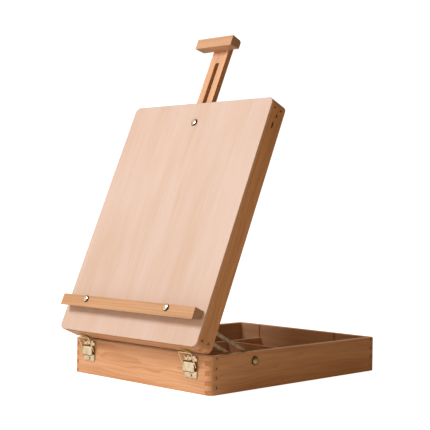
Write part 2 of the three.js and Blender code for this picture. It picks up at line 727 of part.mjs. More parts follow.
for (const [name, side] of [["left", -1], ["right", 1]]) {
  const x = side * latch_offset;
  const latch = new THREE.Group();
  latch.position.set(x, front, 0);
  easel.add(latch);
  add(latch, "latch_plate_" + name, latch_plate(), brass);
  add(latch, "latch_lever_" + name, latch_lever(), brass);
  add(latch, "latch_bail_" + name, latch_bail(), brass);
  add(latch, "latch_pin_" + name, lever_pin(pin_radius, cheek_outer + pin_stub), brass);
  const screw_seat = plate_face - gap / 2;
  const [low_z, top_z] = plate_screws;
  const low_screw = flat_screw(low_screw_head_radius, low_screw_head_height, wood_screw_radius,
    plate_screw_length);
  const top_screw = dome_bolt(top_screw_head_radius, wood_screw_radius, plate_screw_length);
  add(latch, "latch_low_screw_" + name, placed(low_screw, points_front, 0, screw_seat, low_z), brass);
  add(latch, "latch_top_screw_" + name, placed(top_screw, points_front, 0, screw_seat, top_z), brass);
  const hook = new THREE.Group();
  hook.position.set(x, 0, 0);
  lid.add(hook);
  add(hook, "latch_catch_" + name, latch_catch(), brass);
  const hook_seat = -gap - catch_sheet - gap / 2;
  const catch_screw = flat_screw(catch_screw_head_radius, catch_screw_head_height, wood_screw_radius,
    catch_screw_length);
  add(hook, "latch_catch_screw_" + name,
    placed(catch_screw, points_front, 0, hook_seat, catch_screw_w), brass);
}

export default easel;
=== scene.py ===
import json

import bmesh
import bpy
import numpy as np
from mathutils import Matrix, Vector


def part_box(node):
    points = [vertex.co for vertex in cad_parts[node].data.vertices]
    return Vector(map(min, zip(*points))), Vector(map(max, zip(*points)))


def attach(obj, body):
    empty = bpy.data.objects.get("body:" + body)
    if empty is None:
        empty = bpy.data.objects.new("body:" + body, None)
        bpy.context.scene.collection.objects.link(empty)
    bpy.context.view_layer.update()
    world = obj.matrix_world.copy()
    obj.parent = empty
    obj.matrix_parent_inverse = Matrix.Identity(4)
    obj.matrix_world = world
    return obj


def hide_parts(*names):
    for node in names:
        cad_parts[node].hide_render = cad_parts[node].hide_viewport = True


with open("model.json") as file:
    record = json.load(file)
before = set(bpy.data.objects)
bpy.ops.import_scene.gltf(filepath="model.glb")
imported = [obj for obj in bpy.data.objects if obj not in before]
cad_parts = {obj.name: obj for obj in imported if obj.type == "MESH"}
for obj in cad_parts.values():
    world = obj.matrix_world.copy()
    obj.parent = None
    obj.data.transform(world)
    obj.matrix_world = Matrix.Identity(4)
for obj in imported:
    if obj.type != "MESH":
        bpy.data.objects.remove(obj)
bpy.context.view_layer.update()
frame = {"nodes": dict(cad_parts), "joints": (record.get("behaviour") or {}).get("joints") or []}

scene = bpy.context.scene

# ---- Camera ---------------------------------------------------------------------------------
# It stands level with the middle of the drawing board, off the tray's right front corner, and
# leans one degree.

camera_place = np.array([1.2753, -1.3561, 0.2763])
camera_yaw, camera_pitch, camera_roll = np.radians([44.07, 0.03, 1.0])
lens_mm = 87.98


def stand(thing, place, right, back):
    """Adds a camera or a lamp at a place, with its own right hand and back turned these ways."""
    made = bpy.data.objects.new(thing.name, thing)
    turned = np.eye(4)
    turned[:3] = np.column_stack([right, np.cross(back, right), back, place])
    made.matrix_world = Matrix(turned.tolist())
    scene.collection.objects.link(made)
    return made


ahead = np.array([-np.sin(camera_yaw), np.cos(camera_yaw), -np.tan(camera_pitch)])
ahead /= np.linalg.norm(ahead)
level = np.array([np.cos(camera_yaw), np.sin(camera_yaw), 0.0])
leaning = np.cos(camera_roll) * level + np.sin(camera_roll) * np.cross(level, ahead)
lens = bpy.data.cameras.new("camera")
lens.lens = lens_mm
lens.sensor_width = 36
scene.camera = stand(lens, camera_place, leaning, -ahead)

# ---- Studio ---------------------------------------------------------------------------------
# A white sweep with one soft box high on the left in front of the easel, a weak warm reflector low
# on the right, and a surround that fills the shadows and is brighter where the metal looks.


class Wire:
    """A node socket. Arithmetic on wires and numbers adds Math nodes; node() adds any other."""

    def __init__(self, socket):
        self.socket = socket

    def node(self, kind, settings=None, links=None, out=0):
        """Adds a node to this wire's tree: settings first, then the sockets' values or wires."""
        tree = self.socket.id_data
        made = tree.nodes.new("ShaderNode" + kind)
        for name, value in (settings or {}).items():
            setattr(made, name, value)
        for name, value in (links or {}).items():
            if isinstance(value, Wire):
                tree.links.new(value.socket, made.inputs[name])
            else:
                made.inputs[name].default_value = value
        return Wire(made.outputs[out])

    def math(self, operation, *others):
        return self.node("Math", {"operation": operation}, dict(enumerate((self, *others))))

    def __add__(self, other):
        return self.math("ADD", other)

    def __sub__(self, other):
        return self.math("SUBTRACT", other)

    def __mul__(self, other):
        return self.math("MULTIPLY", other)

    def __rsub__(self, other):
        return self.node("Math", {"operation": "SUBTRACT"}, {0: other, 1: self})

    __radd__ = __add__
    __rmul__ = __mul__

    def step(self, low, high, to_low=0.0, to_high=1.0):
        """A smooth step from to_low to to_high as this value goes from low to high."""
        return self.node("MapRange", {"interpolation_type": "SMOOTHSTEP"},
                         {0: self, 1: low, 2: high, 3: to_low, 4: to_high})

    def blend(self, first, second):
        """Mixes two colours, with this value as the factor."""
        return self.node("Mix", {"data_type": "RGBA"}, {0: self, 6: first, 7: second}, out=2)

    def along(self, axis):
        """How far this vector reaches along an axis."""
        return self.node("VectorMath", {"operation": "DOT_PRODUCT"}, {0: self, 1: tuple(axis)}, out="Value")

    def into(self, socket):
        self.socket.id_data.links.new(self.socket, socket)


def shade(red, green, blue):
    """An sRGB colour, 0 to 255, as the linear one that shaders take."""
    part = np.array([red, green, blue]) / 255
    linear = np.where(part > 0.04045, ((part + 0.055) / 1.055) ** 2.4, part / 12.92)
    return (*linear.tolist(), 1.0)


surround_dim = 0.11
surround_bright = 0.7
surround_tint = shade(255, 220, 184)
backdrop = 0.7
front_card = 1.0
seen_white = 1.1
bright_side = np.array([-0.62, -0.72, 0.3])
behind = np.array([-0.66, 0.75, 0.0])
card_side = np.array([-0.67, -0.74, -0.02])

world = bpy.data.worlds.new("white_surround")
scene.world = world
world.use_nodes = True
world.node_tree.nodes.clear()
seen = Wire(world.node_tree.nodes.new("ShaderNodeLightPath").outputs["Is Camera Ray"])
way = Wire(world.node_tree.nodes.new("ShaderNodeTexCoord").outputs["Generated"])
near_horizon = way.along((0, 0, 1)).math("ABSOLUTE").step(0.45, 0.1)
strength = (way.along(bright_side).step(-0.1, 0.95, surround_dim, surround_bright)
            + way.along(behind).step(0.55, 0.9) * near_horizon * backdrop
            + way.along(card_side).step(0.95, 0.995) * front_card)
glow = seen.node("Background", links={"Color": seen.blend(surround_tint, (1, 1, 1, 1)),
                                      "Strength": seen * (seen_white - strength) + strength})
glow.into(world.node_tree.nodes.new("ShaderNodeOutputWorld").inputs["Surface"])


def lamp(name, power, size, tint, place, aim):
    """A square soft lamp at a place, turned towards its aim."""
    made = bpy.data.lights.new(name, "AREA")
    made.energy = power
    made.size = size
    made.color = tint[:3]
    back = np.subtract(place, aim) / np.linalg.norm(np.subtract(place, aim))
    right = np.cross([0, 0, 1], back)
    stand(made, place, right / np.linalg.norm(right), back)


lamp("soft_box", power=25, size=0.65, tint=shade(250, 250, 255),
     place=(-0.5, -1.6, 1.38), aim=(0, 0, 0.25))
lamp("reflector", power=2.6, size=0.6, tint=shade(255, 228, 196),
     place=(1.3, -0.9, 0.45), aim=(0.1, -0.1, 0.15))
scene.view_settings.view_transform = "Standard"

floor_half = 6.0
floor_drop = 0.0004
paper_white = 0.86
paper_glow = 0.93
floor_mesh = bpy.data.meshes.new("floor")
floor_mesh.from_pydata([(-floor_half, -floor_half, 0), (floor_half, -floor_half, 0),
                        (floor_half, floor_half, 0), (-floor_half, floor_half, 0)], [], [(0, 1, 2, 3)])
floor = bpy.data.objects.new("floor", floor_mesh)
floor.location.z = -floor_drop
scene.collection.objects.link(floor)
paper = bpy.data.materials.new("white_paper")
paper.use_nodes = True
paper_shader = paper.node_tree.nodes["Principled BSDF"]
paper_shader.inputs["Base Color"].default_value = (paper_white, paper_white, paper_white, 1)
paper_shader.inputs["Roughness"].default_value = 0.9
paper_shader.inputs["Specular IOR Level"].default_value = 0.0
seen = Wire(paper.node_tree.nodes.new("ShaderNodeLightPath").outputs["Is Camera Ray"])
seen.blend((0, 0, 0, 1), (1, 1, 1, 1)).into(paper_shader.inputs["Emission Color"])
paper_shader.inputs["Emission Strength"].default_value = paper_glow
floor_mesh.materials.append(paper)

# ---- Tray boards ----------------------------------------------------------------------------
# Four beech boards, 12 mm thick, joined at the corners by eight fingers each and sanded to one
# rounded corner. The front and back boards own the fingers at the rim. The rim is eased.

mm = 0.001
X, Y, Z = np.eye(3)


def surface(name):
    """A new material and its shader, with wires for the place and the normal in the easel's axes."""
    material = bpy.data.materials.new(name)
    material.use_nodes = True
    nodes = material.node_tree.nodes
    where = nodes.new("ShaderNodeTexCoord").outputs
    return material, nodes["Principled BSDF"], Wire(where["Object"]), Wire(where["Normal"])


def darker(colour, *shares):
    """A colour with its red, green and blue each cut to a share."""
    return tuple(np.array(colour) * [*shares, 1])


# Painted shade: the dull brown that the tray boards' inward faces are blended towards, where the lid shades
# the tray.
inside_painted_shade = shade(150, 116, 92)
rings_per_mm = 0.24
pore_depth = 0.12 * mm


def wood(name, grain, across, dark, light, end, seed, pith=(0.1, 0.1, 0.1), figure=1.0, contrast=1.0,
         rings=1.0, band=0.07, pore=0.95, fleck=0.35, rough=0.46, varnish=0.2, edge=None,
         inside=None, marks=()):
    """Sawn beech, in millimetres along the grain, across it and through it.

    The year rings are circles about a line through the pith, swayed by slow noise along the
    grain: ring number = distance from the pith / ring width + noise, and its fraction, raised to
    a power, is the thin dark line of late wood. Long fine noise adds the pores, slow noise the
    bands, and short dashes the ray flecks. Where the surface faces along the grain it is end
    grain. The narrow sides may have another colour: a painted highlight on the tray boards and
    dividers, painted shade on the mast, and the ply edge's own colour on the drawing board. The
    face that looks to the inside is blended towards a dull brown, which is painted shade. A mark
    (along, across, half length, half width) is a small dark oval fleck.
    """
    material, shader, place, normal = surface(name)
    grain, across = np.asarray(grain, float), np.asarray(across, float)
    through = np.cross(grain, across)
    g, a, t = (place.along(axis / mm) for axis in (grain, across, through))
    spot = g.node("CombineXYZ", links={0: g, 1: a, 2: t})

    def noise(per_g, per_a, per_t, detail, shift):
        """Noise with so many waves per millimetre along the grain, across it and through it."""
        own_place = (seed * 17.3 + shift, seed * 5.1, shift * 3.7)
        scaled = spot.node("VectorMath", {"operation": "MULTIPLY_ADD"},
                           {0: spot, 1: (per_g, per_a, per_t), 2: own_place})
        return spot.node("TexNoise", {"noise_dimensions": "3D"},
                         {"Vector": scaled, "Scale": 1.0, "Detail": detail, "Roughness": 0.55})

    sway = noise(0.006, 0.018, 0.018, 2.0, 1.0) - 0.5
    off_a = sway * (26 * figure) + a - float(np.dot(pith, across)) / mm
    off_t = sway * 10 + t - float(np.dot(pith, through)) / mm
    ring = (off_a * off_a + off_t * off_t).math("SQRT") * rings_per_mm
    late = (ring + noise(0.004, 0.05, 0.05, 2.0, 4.0) * 2.2).math("FRACT").math("POWER", 3.0)
    pores = noise(0.014, pore, pore, 3.0, 2.0)
    bands = noise(0.004, band, band, 2.0, 3.0)
    dashes = noise(0.2, 1.7, 1.7, 1.0, 5.0).step(0.62, 0.72)

    tone = (bands - 0.5) * (1.5 * contrast) + (pores - 0.5) * (0.9 * contrast) - late * (0.34 * rings)
    face = (tone + 0.62).step(0.0, 1.0).blend(dark, light)
    face = (dashes * fleck).blend(face, darker(dark, 0.62, 0.55, 0.5))
    facing = normal.along(grain).math("ABSOLUTE").step(0.72, 0.98)
    stipple = noise(0.02, 1.4, 1.4, 2.0, 6.0)
    end_tone = (stipple - late * 0.25).step(0.1, 0.9).blend(darker(end, 0.78, 0.76, 0.72), end)
    # Narrow sides: painted highlight on the tray boards and dividers, painted shade on the mast, and the
    # ply edge's own colour on the drawing board.
    if edge:
        face = (normal.along(across).math("ABSOLUTE").step(0.4, 0.85) * 0.8).blend(face, edge)
    # Painted shade on the face that looks to the inside.
    if inside is not None:
        face = (normal.along(inside).step(0.5, 0.9) * 0.6).blend(face, inside_painted_shade)
    colour = facing.blend(face, end_tone)
    for mark_g, mark_a, half_long, half_wide in marks:
        off_g, off_a = (g - mark_g) * (1 / half_long), (a - mark_a) * (1 / half_wide)
        inside_mark = (off_g * off_g + off_a * off_a).math("SQRT").step(1.2, 0.7)
        colour = inside_mark.blend(colour, darker(dark, 0.12, 0.09, 0.08))
    colour.into(shader.inputs["Base Color"])
    (rough - pores * 0.1 + facing * 0.15 + dashes * 0.05).into(shader.inputs["Roughness"])
    relief = pores * 0.5 - dashes * 0.5 - late * 0.15 + stipple * facing * 0.6
    bump = relief.node("Bump", links={"Strength": 0.35, "Distance": pore_depth, "Height": relief})
    bump.into(shader.inputs["Normal"])
    shader.inputs["Specular IOR Level"].default_value = 0.42
    shader.inputs["Coat Weight"].default_value = varnish
    shader.inputs["Coat Roughness"].default_value = 0.32
    return material


def bent(corners, radius, closed=True, steps=6):
    """A line through corners with each corner rounded, as places and unit tangents.

    In each corner's plane, u is the way in and m the unit normal towards the way out. The arc is
    centre - m r cos(f) + u r sin(f) with f from 0 to the turn, and its tangent u cos(f) + m sin(f).
    """
    c = np.asarray(corners, float)
    before, mid, after = (np.roll(c, 1, 0), c, np.roll(c, -1, 0)) if closed else (c[:-2], c[1:-1], c[2:])
    u = (mid - before) / np.linalg.norm(mid - before, axis=1, keepdims=True)
    w = (after - mid) / np.linalg.norm(after - mid, axis=1, keepdims=True)
    turn = np.arccos(np.clip((u * w).sum(1, keepdims=True), -1, 1))
    m = (w - u * np.cos(turn)) / np.sin(turn)
    r = np.broadcast_to(np.asarray(radius, float).reshape(-1, 1), turn.shape)
    centre = mid - u * r * np.tan(turn / 2) + m * r
    f = np.linspace(0, 1, steps + 1)[None, :, None] * turn[:, None]
    u, m, r, centre = u[:, None], m[:, None], r[:, None], centre[:, None]
    places = (centre - m * r * np.cos(f) + u * r * np.sin(f)).reshape(-1, c.shape[1])
    tangents = (u * np.cos(f) + m * np.sin(f)).reshape(-1, c.shape[1])
    if closed:
        return places, tangents
    return np.vstack([c[0], places, c[-1]]), np.vstack([tangents[0], tangents, tangents[-1]])


def eased(low, high, ease_low, ease_high, steps=4):
    """Heights and insets of the sections of a prism with quarter-round ends.

    With a from 90 degrees to 0, a section is inset by r (1 - cos a) at r (1 - sin a) from the end.
    """
    a = np.linspace(np.pi / 2, 0, steps + 1)
    rise, inset = 1 - np.sin(a), 1 - np.cos(a)
    heights = np.concatenate([low + ease_low * rise, (high - ease_high * rise)[::-1]])
    return heights, np.concatenate([ease_low * inset, (ease_high * inset)[::-1]])


def prism(corners, radius, low, high, ease, steps=6):
    """An outline carried straight from low to high: section = outline - outward normal x inset."""
    flat, tangent = bent(corners, radius, steps=steps)
    outward = np.column_stack([tangent[:, 1], -tangent[:, 0]])
    ease = np.broadcast_to(ease, 2)
    heights, inset = eased(low, high, ease[0], ease[1])
    sections = flat[None] - outward[None] * inset[:, None, None]
    height = np.broadcast_to(heights[:, None, None], sections.shape[:2] + (1,))
    return np.concatenate([sections, height], axis=2)


def placed(grid, origin, first, second, third):
    """A grid drawn in its own axes, put into the easel's."""
    return np.asarray(origin, float) + grid @ np.array([first, second, third], float)


def mesh_of(name, grids):
    """A mesh of closed grids: point (i, j) is joined to its neighbours, j runs round, and the first
    and last sections are closed by flat faces unless they are one and the same."""
    places, faces, base = [], [], 0
    for grid in grids:
        m, n = grid.shape[:2]
        i, j = np.meshgrid(np.arange(m - 1), np.arange(n), indexing="ij")
        k = (j + 1) % n
        quads = np.stack([i * n + j, i * n + k, (i + 1) * n + k, (i + 1) * n + j], axis=-1)
        faces += (quads.reshape(-1, 4) + base).tolist()
        if not np.allclose(grid[0], grid[-1]):
            faces += [(np.arange(n)[::-1] + base).tolist(), (np.arange(n) + (m - 1) * n + base).tolist()]
        places.append(grid.reshape(-1, 3))
        base += m * n
    mesh = bpy.data.meshes.new(name)
    mesh.from_pydata(np.vstack(places).tolist(), [], faces)
    work = bmesh.new()
    work.from_mesh(mesh)
    bmesh.ops.remove_doubles(work, verts=work.verts, dist=2e-6)
    bmesh.ops.dissolve_degenerate(work, edges=work.edges, dist=1e-6)
    bmesh.ops.recalc_face_normals(work, faces=work.faces)
    work.to_mesh(mesh)
    work.free()
    return mesh


sharp_turn = 34


def piece(name, grids, material, body, *nodes, slot):
    """A finished piece in its place, which stands for CAD nodes and rides with a body."""
    mesh = mesh_of(name, grids)
    mesh.polygons.foreach_set("use_smooth", np.ones(len(mesh.polygons), bool))
    mesh.set_sharp_from_angle(angle=np.radians(sharp_turn))
    mesh.materials.append(material)
    made = bpy.data.objects.new(name, mesh)
    scene.collection.objects.link(made)
    weighted = made.modifiers.new("flat_faces", "WEIGHTED_NORMAL")
    weighted.keep_sharp = True
    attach(made, body)
    if nodes:
        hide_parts(*nodes)
    return made


finger_play = 0.1 * mm
moon_reach = 0.8
moon_steps = 11


def jointed_board(half, thick, shoulder, heights, owns_first, notches, corner, ease, hollow):
    """A board of a finger-jointed box, in its own axes: along it, inwards from its outer face, up.

    The board is a stack of one plan outline. Where it owns the finger, the outline runs to the
    rounded corner; elsewhere its places along the board are limited to the shoulders, which the
    cutter has hollowed in half moons towards the outer face: with u from -1 to 1 up the socket,
    shoulder - hollow (1 - depth / thickness) (1 - (u / reach)^2).
    Inside, each notch (from, to, depth, lowest, highest) moves the outline outwards over its height.
    """
    stations = [(-half, 0, -1, -1, 0), (-shoulder, 0, -1, 0, 0), (-shoulder, 1, -1, 0, 1),
                (shoulder, 0, -1, 0, 1), (shoulder, 1, -1, 0, 0), (half, 0, -1, 1, 0)]
    for k, (start, stop, *_) in enumerate(notches):
        stations += [(start, 0, k, 0, 1), (start, 1, -1, 0, 0), (stop, 0, -1, 0, 0), (stop, 1, k, 0, 1)]
    stations = np.array(sorted(stations))
    turn = np.linspace(0, np.pi / 2, 9)
    corner_s = half - corner + corner * np.sin(turn)
    corner_d = corner - corner * np.cos(turn)
    along = np.concatenate([stations[:, 0], corner_s[::-1], -corner_s])
    inwards = np.concatenate([np.full(len(stations), thick), corner_d[::-1], corner_d])
    normal_s = np.concatenate([stations[:, 3], np.sin(turn)[::-1], -np.sin(turn)])
    normal_d = np.concatenate([stations[:, 4], -np.cos(turn)[::-1], -np.cos(turn)])
    skip = np.concatenate([stations[:, 2], np.full(2 * len(turn), -2)])
    inner = np.arange(len(along)) < len(stations)

    steps = np.diff(heights)
    own = np.arange(len(steps)) % 2 == (0 if owns_first else 1)
    changes = np.array(heights, float)
    changes[1:-1] += np.where(own[1:], finger_play, -finger_play)
    levels = np.unique(np.concatenate([changes, [z for notch in notches for z in notch[3:5]]]).round(6))
    sections = []
    for low, high in zip(levels[:-1], levels[1:]):
        middle = (low + high) / 2
        finger = np.searchsorted(changes, middle) - 1
        owned = own[finger]
        depth = np.zeros(len(along))
        for k, (start, stop, deep, bottom, top) in enumerate(notches):
            reached = inner & (along >= start - 1e-9) & (along <= stop + 1e-9) & (skip != k)
            depth = np.where(reached & (bottom < middle < top), np.maximum(depth, deep), depth)
        foot_here = ease[0] if low == levels[0] else 0
        rim_here = ease[1] if high == levels[-1] else 0
        z, inset = eased(low, high, foot_here, rim_here)
        mid = len(z) // 2
        z = np.insert(z, mid, np.linspace(z[mid - 1], z[mid], moon_steps + 2)[1:-1])
        inset = np.insert(inset, mid, np.zeros(moon_steps))
        u = (2 * z - changes[finger] - changes[finger + 1]) / (changes[finger + 1] - changes[finger])
        moon = np.maximum(1 - (u / moon_reach) ** 2, 0)[:, None]
        stop = shoulder - hollow * (1 - inwards / thick) * moon
        q, tall = inset[:, None], np.ones((len(z), 1))
        s = along * tall if owned else np.clip(along * tall, -stop, stop)
        push = normal_s if owned else normal_s * (np.abs(along) < shoulder)
        section = [s - push * q, inwards - depth - normal_d * q, z[:, None] * np.ones(len(along))]
        sections.append(np.stack(section, axis=2))
    return np.concatenate(sections)


corner_radius = 10 * mm
base_fingers = 8
rim_ease = 0.9 * mm
foot_ease = 0.7 * mm
bottom_rebate = 6 * mm
groove_depth = 2.5 * mm
groove_play = 0.3 * mm

tray_low, tray_high = (np.array(c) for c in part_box("base_front_board"))
half_width = tray_high[0]
wall = tray_high[1] - tray_low[1]
rim = tray_high[2]
half_depth = -tray_low[1]
bottom_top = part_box("long_divider")[0].z - groove_play
socket_hollow = 4 * mm
shoulder_gap = 0.2 * mm
shoulder_x = half_width - wall - shoulder_gap
shoulder_y = half_depth - wall - shoulder_gap


def groove(divider, axis):
    """The notch that a divider's end stands in, with a little play each side."""
    low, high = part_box(divider)
    return (low[axis] - groove_play, high[axis] + groove_play, groove_depth, bottom_top, rim)


board_light = shade(228, 180, 136)
board_dark = shade(196, 141, 94)
board_end = shade(208, 154, 104)
# The side boards' and side rails' darker, redder tones are partly their own and partly painted shade of
# their outer faces, which are seen in shade.
side_light = shade(216, 160, 106)
side_dark = shade(186, 128, 78)
side_end = shade(206, 136, 86)
# Painted highlight: the sheen of the lit rim, painted on the boards' narrow sides.
board_edge_highlight = shade(236, 196, 158)
front_tones = (board_dark, board_light, board_end)
side_tones = (side_dark, side_light, side_end)

rebate_x = (-half_width + bottom_rebate, half_width - bottom_rebate, bottom_rebate, 0, bottom_top)
rebate_y = (-half_depth + bottom_rebate, half_depth - bottom_rebate, bottom_rebate, 0, bottom_top)
grooves_back = [groove("long_divider", 0), groove("rear_divider", 0)]
tray_boards = {
    "front": (X, Y, shoulder_x, half_width, half_depth, [rebate_x, grooves_back[0]], (-0.024, 0.038)),
    "back": (X, -Y, shoulder_x, half_width, half_depth, [rebate_x, *grooves_back], (-0.05, -0.03)),
    "left": (Y, X, shoulder_y, half_depth, half_width, [rebate_y], (-0.04, 0.06)),
    "right": (Y, -X, shoulder_y, half_depth, half_width, [rebate_y, groove("cross_divider", 1)],
              (-0.03, 0.05)),
}
for seed, (name, board) in enumerate(tray_boards.items()):
    along, inwards, shoulder, half, out, notches, (pith_in, pith_up) = board
    owns_rim = along is X
    heights = np.linspace(0, rim, base_fingers + 1)
    grid = jointed_board(half, wall, shoulder, heights, not owns_rim, notches, corner_radius,
                         (foot_ease, rim_ease), 0 if owns_rim else socket_hollow)
    tones = front_tones if owns_rim else side_tones
    grain = wood(f"beech_{name}_board", along, Z, *tones, seed + 1.0, figure=0.9,
                 pith=inwards * (pith_in - out) + Z * pith_up, edge=board_edge_highlight, inside=inwards)
    piece(f"{name}_board", [placed(grid, -out * inwards, along, inwards, Z)], grain, "tray",
          f"base_{name}_board", slot="beech_boards")

# ---- Tray inside ----------------------------------------------------------------------------
# A thin beech ply bottom let into a rebate, and three ply dividers dropped into their grooves.

inside_tones = (shade(168, 118, 84), shade(204, 156, 118), shade(170, 122, 84))
# Painted highlight: the sheen on the dividers' top edges.
divider_edge_highlight = shade(250, 214, 180)
ply_ease = 0.5 * mm


def rectangle(x0, x1, y0, y1):
    return [(x0, y0), (x1, y0), (x1, y1), (x0, y1)]


ply_sheets = [("base_bottom_panel", X, Y, None), ("long_divider", Y, Z, divider_edge_highlight),
              ("cross_divider", X, Z, divider_edge_highlight), ("rear_divider", Y, Z, divider_edge_highlight)]
for seed, (name, grain, across, edge) in enumerate(ply_sheets):
    ply = wood(f"ply_{name}", grain, across, *inside_tones, seed + 11.0,
               figure=0.7, contrast=0.8, edge=edge)
    low, high = (np.array(c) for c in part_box(name))
    grid = prism(rectangle(low[0], high[0], low[1], high[1]), ply_ease, low[2], high[2], ply_ease, steps=3)
    piece(name + "_wood", [grid], ply, "tray", name, slot="beech_ply_inside")

# ---- Lid frame ------------------------------------------------------------------------------
# Four rails of the same beech, finger-jointed and rounded like the tray, open at the back. The
# lid leans back from its lower edge, so it is drawn in its own axes: across, up the board, out.

lid_fingers = 4
joints = {joint["name"]: joint for joint in frame["joints"]}
up_lid = np.array(joints["mast_slide"]["axis"], float)
out_lid = np.cross(X, up_lid)


def spread(node, origin=(0, 0, 0), axes=(X, up_lid, out_lid)):
    """The lowest and highest reach of a CAD node along three axes."""
    mesh = frame["nodes"][node].data
    places = np.empty(len(mesh.vertices) * 3, np.float32)
    mesh.vertices.foreach_get("co", places)
    reach = (places.reshape(-1, 3) - np.asarray(origin)) @ np.array(axes, float).T
    return reach.min(0), reach.max(0)


lid_low, lid_high = spread("lid_left_rail")
lid_length = lid_high[1] - lid_low[1]
lid_origin = up_lid * lid_low[1] + out_lid * lid_low[2]
frame_deep = lid_high[2] - lid_low[2]


def in_lid(grid):
    """A grid drawn across, up and out of the lid, put into the easel's axes."""
    return placed(grid, lid_origin, X, up_lid, out_lid)


def lid_spread(node):
    """A CAD node's reach across, up and out of the lid."""
    return spread(node, lid_origin)


def in_lid_axes(vector):
    """A direction given across, up and out of the lid, in the easel's axes."""
    return np.asarray(vector, float) @ np.array([X, up_lid, out_lid])


lid_half = lid_length / 2
lid_shoulder = lid_half - wall - shoulder_gap
lid_v, lid_w = lid_low[1] / mm, lid_low[2] / mm
rail_flecks = [(lid_v + 399, lid_w + 16.5, 2.6, 2.2), (lid_v + 382, lid_w + 20, 6.5, 1.9)]
lid_rails = {
    "bottom": ((0, 0, 0), X, Y, shoulder_x, half_width, True),
    "top": ((0, lid_length, 0), X, -Y, shoulder_x, half_width, True),
    "left": ((-half_width, lid_half, 0), Y, X, lid_shoulder, lid_half, False),
    "right": ((half_width, lid_half, 0), Y, -X, lid_shoulder, lid_half, False),
}
rails = {}
for seed, (name, rail) in enumerate(lid_rails.items()):
    origin, along, inwards, shoulder, half, owns_face = rail
    heights = np.linspace(0, frame_deep, lid_fingers + 1)
    grid = jointed_board(half, wall, shoulder, heights, not owns_face, [], corner_radius, (rim_ease, 0),
                         0 if owns_face else socket_hollow)
    drawn = placed(grid, origin, along, inwards, Z)
    outside = lid_origin + in_lid_axes(origin) - in_lid_axes(inwards) * 0.05 + out_lid * 0.04
    grain = wood(f"beech_{name}_rail", X if owns_face else up_lid, out_lid,
                 *(front_tones if owns_face else side_tones), seed + 5.0, pith=outside,
                 marks=rail_flecks if name == "right" else ())
    rails[name] = piece(f"{name}_rail", [in_lid(drawn)], grain, "lid", f"lid_{name}_rail",
                        slot="beech_boards")

mast_low, mast_high = lid_spread("mast")
mast_gap = 0.4 * mm
knife_ease = 0.1 * mm
knife_grid = prism(rectangle(mast_low[0] - mast_gap, mast_high[0] + mast_gap,
                             lid_length - 2 * wall, lid_length + wall),
                   2 * knife_ease, mast_low[2] - mast_gap, frame_deep + wall, knife_ease)
knife = bpy.data.objects.new("mast_notch", mesh_of("mast_notch", [in_lid(knife_grid)]))
scene.collection.objects.link(knife)
top_rail = rails["top"]
top_rail.modifiers.clear()
cut = top_rail.modifiers.new("mast_notch", "BOOLEAN")
cut.object = knife
depsgraph = bpy.context.evaluated_depsgraph_get()
notched = bpy.data.meshes.new_from_object(top_rail.evaluated_get(depsgraph))
top_rail.modifiers.clear()
top_rail.data = notched
notched.set_sharp_from_angle(angle=np.radians(sharp_turn))
top_rail.modifiers.new("flat_faces", "WEIGHTED_NORMAL").keep_sharp = True
bpy.data.objects.remove(knife)

# ---- Drawing board --------------------------------------------------------------------------
# One sheet of pale beech plywood glued over the lid frame, its face veneer running up the board
# and its front edge rounded over.

panel_light = shade(217, 198, 187)
panel_dark = shade(206, 176, 151)
panel_end = shade(206, 152, 98)
panel_round = 1.3 * mm
panel_back_ease = 0.2 * mm
panel_low, panel_high = lid_spread("drawing_board")
panel_grid = prism(rectangle(-half_width, half_width, 0, lid_length), corner_radius,
                   panel_low[2], panel_high[2], (panel_back_ease, panel_round), steps=12)
panel_wood = wood("beech_face_veneer", up_lid, X, panel_dark, panel_light, panel_end, 21.0,
                  pith=lid_origin + out_lid * 0.12, figure=0.5, contrast=0.75, rings=0.08, band=0.022,
                  pore=0.42, fleck=0.12, rough=0.5, varnish=0.0, edge=panel_end)
piece("drawing_board_ply", [in_lid(panel_grid)], panel_wood, "lid", "drawing_board", slot="beech_ply_board")

# ---- Canvas ledge and mast head -------------------------------------------------------------
# Two beech mouldings that run across the easel. Each is deeper at its front than at its back, so
# that its underside slopes, and its edges are eased.

ledge_light = shade(212, 168, 126)
ledge_dark = shade(186, 140, 98)
ledge_end = shade(186, 146, 112)
head_light = shade(214, 172, 136)
head_dark = shade(194, 148, 110)


def moulding(name, back_height, chamfer, material, body):
    """A section drawn out from the board and up it, carried across from end to end."""
    low, high = lid_spread(name)
    chamfered = [(low[2] + chamfer, high[1]), (low[2], high[1] - chamfer)]
    section = [(low[2], high[1] - back_height), (high[2], low[1]), (high[2], high[1]),
               *(chamfered if chamfer else chamfered[1:])]
    grid = prism(section, moulding_ease, low[0], high[0], moulding_ease, steps=4)
    piece(name + "_wood", [in_lid(grid[..., [2, 1, 0]])], material, body, name, slot="beech_mast")


moulding_ease = 0.6 * mm
ledge_back_height = 13.5 * mm
head_back_height = 15 * mm
head_chamfer = 3 * mm
ledge_wood = wood("beech_ledge", X, up_lid, ledge_dark, ledge_light, ledge_end, 31.0,
                  pith=lid_origin + up_lid * 0.11 + out_lid * 0.02, figure=0.5)
moulding("canvas_ledge", ledge_back_height, 0, ledge_wood, "lid")
head_wood = wood("beech_head", X, up_lid, head_dark, head_light, ledge_end, 37.0,
                 pith=lid_origin + up_lid * 0.6 + out_lid * 0.02, figure=0.5)
moulding("mast_head", head_back_height, head_chamfer, head_wood, "mast")

# ---- Mast and its guides --------------------------------------------------------------------
# A flat beech bar with one long slot, which slides between two guides on the board's back.

mast_light = shade(226, 182, 144)
mast_dark = shade(206, 160, 122)
